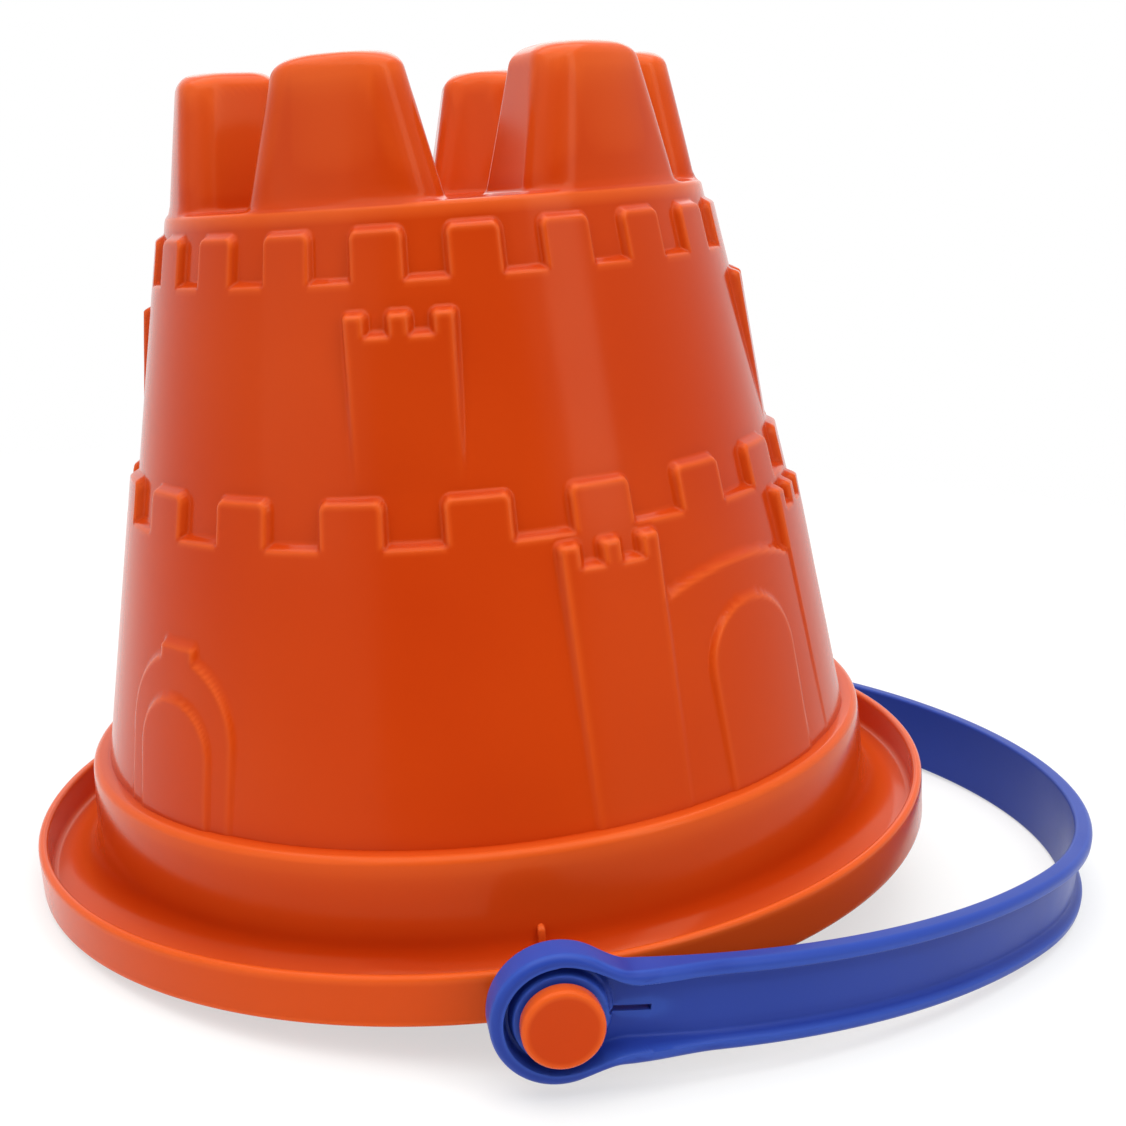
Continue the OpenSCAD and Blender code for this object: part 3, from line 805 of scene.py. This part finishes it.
# the whole handle as one skin: strap and eyes share the points of the sections where they meet
def handlePart():
    h = handle
    strap = strapGrid()
    rows, columns = strap.shape[:2]
    index = numbered(rows, columns, False, True)
    # the slit's end wall at each end of the strap is one quad
    middle = h["across"] - 1
    quad = [middle, middle + 1, columns - 2 - middle, columns - 1 - middle]
    ends = [index[row, quad][None, ::flip] for row, flip in ((0, -1), (-1, 1))]
    points, faces = [strap.reshape(-1, 3)], [gridFaces(index)] + ends
    for side, flip in ((-1, 1), (1, -1)):
        grid, opened = eyeGrid(side)
        faces.append(eyeFaces(opened, sum(len(part) for part in points))[:, ::flip])
        points.append(grid.reshape(-1, 3))
    points, faces = np.vstack(points), np.vstack(faces)
    # points that are the same to a thousandth of a millimetre become one
    decimals = 3
    place, number = np.unique(np.round(points, decimals), axis=0, return_index=True, return_inverse=True)[1:]
    faces = number.reshape(-1)[faces]
    used, faces = np.unique(faces, return_inverse=True)
    return closedPart(points[place][used], faces.reshape(-1, 4))


makePiece("handle_strap", [handlePart()], "handle", blue, "handle")


# camera solved from the photograph: place in millimetres and its three directions
view = {
    "place": (-28.533, -339.789, 141.776), "focal": 1545.395, "picture": 1126, "sensor": 36.0,
    "right": (0.984227, -0.163557, -0.067420), "down": (-0.104579, -0.230534, -0.967428),
    "forward": (0.142687, 0.959220, -0.244002), "clip": (10.0, 20000.0),
}
camera = bpy.data.objects.new("camera", bpy.data.cameras.new("camera"))
camera.data.sensor_width = view["sensor"]
camera.data.lens = view["focal"] / view["picture"] * view["sensor"]
camera.data.clip_start, camera.data.clip_end = [distance * mm for distance in view["clip"]]
axes = np.array([view["right"], view["down"], view["forward"]]) * [[1], [-1], [-1]]
camera.matrix_world = Matrix.Translation([v * mm for v in view["place"]]) @ Matrix(axes.T.tolist()).to_4x4()
bpy.context.scene.collection.objects.link(camera)
bpy.context.scene.camera = camera
print("camera placed")


floor = {
    "rimTouch": (-100.0, 0.0), "handleTouch": (138.6, -26.9), "middle": 20.0, "radius": 900.0, "rings": 24,
    "columns": 96, "fadeFrom": 260.0, "fadeTo": 620.0, "paper": "#F4F4F2", "glowShare": 0.6,
}


# floor: a round sheet, tilted along the straight line from the rim's left edge to the far end of the handle
def floorSheet():
    f = floor
    slope = (f["handleTouch"][1] - f["rimTouch"][1]) / (f["handleTouch"][0] - f["rimTouch"][0])
    radius = np.linspace(f["middle"], f["radius"], f["rings"])[:, None]
    azimuth = np.arange(f["columns"])[None, :] * 360 / f["columns"]
    flat = polar(radius, azimuth, 0.0)
    flat[..., 2] = f["rimTouch"][1] + slope * (flat[..., 0] - f["rimTouch"][0])
    index = numbered(f["rings"], f["columns"], False, True)
    tip = flat[0].mean(axis=0)
    points = np.vstack([flat.reshape(-1, 3), tip])
    faces = gridFaces(index)[:, ::-1].tolist() + fanFaces(index[0, :-1], len(points) - 1).tolist()
    mesh = bpy.data.meshes.new("floor")
    mesh.from_pydata((points * mm).tolist(), [], faces)
    sheet = bpy.data.objects.new("floor", mesh)
    bpy.context.scene.collection.objects.link(sheet)
    return sheet


# Matt white paper: takes the part's shadow, looks a little brighter than it is lit, and lets the white surround
# show through towards its edge and from below
def floorPaper():
    f = floor
    material = bpy.data.materials.new("studioPaper")
    material.use_nodes = True
    tree = material.node_tree
    tree.nodes.remove(tree.nodes["Principled BSDF"])
    place = addNode(tree, "ShaderNodeTexCoord", {}, {}).outputs["Object"]
    reach = addNode(tree, "ShaderNodeVectorMath", {"operation": "LENGTH"}, {0: place})
    fade = addNode(tree, "ShaderNodeMapRange", {"interpolation_type": "SMOOTHSTEP"}, {
        "Value": reach.outputs["Value"], "From Min": f["fadeFrom"] * mm, "From Max": f["fadeTo"] * mm})
    below = addNode(tree, "ShaderNodeNewGeometry", {}, {}).outputs["Backfacing"]
    away = addNode(tree, "ShaderNodeMath", {"operation": "MAXIMUM"}, {0: fade.outputs["Result"], 1: below})
    paper = addNode(tree, "ShaderNodeBsdfDiffuse", {}, {"Color": linearColour(f["paper"])})
    glow = addNode(tree, "ShaderNodeEmission", {}, {"Color": (1, 1, 1, 1), "Strength": 1.0})
    path = addNode(tree, "ShaderNodeLightPath", {}, {})
    seen = addNode(tree, "ShaderNodeMath", {"operation": "MAXIMUM"}, {
        0: path.outputs["Is Camera Ray"], 1: path.outputs["Is Glossy Ray"]})
    seen = addNode(tree, "ShaderNodeMath", {"operation": "MAXIMUM"}, {
        0: seen.outputs["Value"], 1: path.outputs["Is Transmission Ray"]})
    share = addNode(tree, "ShaderNodeMath", {"operation": "MULTIPLY"}, {0: seen.outputs["Value"], 1: f["glowShare"]})
    lit = addNode(tree, "ShaderNodeMixShader", {}, {
        "Fac": share.outputs["Value"], 1: paper.outputs["BSDF"], 2: glow.outputs["Emission"]})
    clear = addNode(tree, "ShaderNodeBsdfTransparent", {}, {})
    mixed = addNode(tree, "ShaderNodeMixShader", {}, {
        "Fac": away.outputs["Value"], 1: lit.outputs["Shader"], 2: clear.outputs["BSDF"]})
    tree.links.new(mixed.outputs["Shader"], tree.nodes["Material Output"].inputs["Surface"])
    return material


floorSheet().data.materials.append(floorPaper())


# studio: broad soft boxes all round and overhead, in metres and watts, aimed at the middle of the bucket
aim = np.array([0.0, 0.0, 0.075])
lamps = {
    "leftBox": {"azimuth": -58, "elevation": 32, "distance": 0.95, "wide": 0.6, "high": 0.9, "power": 1.2},
    "rightBox": {"azimuth": 42, "elevation": 28, "distance": 1.0, "wide": 0.3, "high": 0.8, "power": 2.2},
    "frontBox": {"azimuth": 12, "elevation": 62, "distance": 1.0, "wide": 0.9, "high": 0.6, "power": 1.2},
    "topBox": {"azimuth": 0, "elevation": 82, "distance": 1.0, "wide": 1.4, "high": 1.4, "power": 13.5},
    "backBox": {"azimuth": 170, "elevation": 35, "distance": 1.1, "wide": 0.8, "high": 0.6, "power": 1.8},
}


# one soft box: its place is the aim plus its distance along azimuth and elevation, and it faces back along that line
def softBox(name, lamp):
    data = bpy.data.lights.new(name, "AREA")
    data.shape, data.size, data.size_y, data.energy = "RECTANGLE", lamp["wide"], lamp["high"], lamp["power"]
    light = bpy.data.objects.new(name, data)
    azimuth, elevation = math.radians(lamp["azimuth"]), math.radians(lamp["elevation"])
    away = polar(math.cos(elevation), lamp["azimuth"], math.sin(elevation))
    side = np.array([math.cos(azimuth), math.sin(azimuth), 0.0])
    rotation = np.stack([side, np.cross(away, side), away], axis=1)
    place = Matrix.Translation((aim + away * lamp["distance"]).tolist())
    light.matrix_world = place @ Matrix(rotation.tolist()).to_4x4()
    bpy.context.scene.collection.objects.link(light)


for lampName, lampSizes in lamps.items():
    softBox(lampName, lampSizes)

# surround: white to the eye, dimmer as a light than in reflections, and both darker in a patch in front
sky = {"fill": 0.50, "front": (-0.05, -1.0, 0.0), "frontShade": 0.10, "shadeFrom": 0.82, "shadeTo": 0.88}
surround = bpy.data.worlds.new("surround")
surround.use_nodes = True
skyTree = surround.node_tree
skyPath = addNode(skyTree, "ShaderNodeLightPath", {}, {})
skyPlace = addNode(skyTree, "ShaderNodeTexCoord", {}, {}).outputs["Generated"]
skyFront = addNode(skyTree, "ShaderNodeVectorMath", {"operation": "DOT_PRODUCT"}, {0: skyPlace, 1: sky["front"]})
skyShade = addNode(skyTree, "ShaderNodeMapRange", {"interpolation_type": "SMOOTHSTEP"}, {
    "Value": skyFront.outputs["Value"], "From Min": sky["shadeFrom"], "From Max": sky["shadeTo"],
    "To Min": 1.0, "To Max": sky["frontShade"]})
skyMirror = addNode(skyTree, "ShaderNodeMath", {"operation": "MAXIMUM"}, {
    0: skyPath.outputs["Is Glossy Ray"], 1: skyPath.outputs["Is Transmission Ray"]})
skyLight = addNode(skyTree, "ShaderNodeMix", {"data_type": "FLOAT"}, {
    numberMix["share"]: skyMirror.outputs["Value"], numberMix["from"]: sky["fill"], numberMix["to"]: 1.0})
skyShaded = addNode(skyTree, "ShaderNodeMath", {"operation": "MULTIPLY"}, {
    0: skyLight.outputs[numberMix["result"]], 1: skyShade.outputs["Result"]})
skyLevel = addNode(skyTree, "ShaderNodeMix", {"data_type": "FLOAT"}, {
    numberMix["share"]: skyPath.outputs["Is Camera Ray"],
    numberMix["from"]: skyShaded.outputs["Value"], numberMix["to"]: 1.0})
background = skyTree.nodes["Background"]
background.inputs["Color"].default_value = (1, 1, 1, 1)
skyTree.links.new(skyLevel.outputs[numberMix["result"]], background.inputs["Strength"])
bpy.context.scene.world = surround
bpy.context.scene.view_settings.view_transform = "Standard"
print("floor and lights placed")
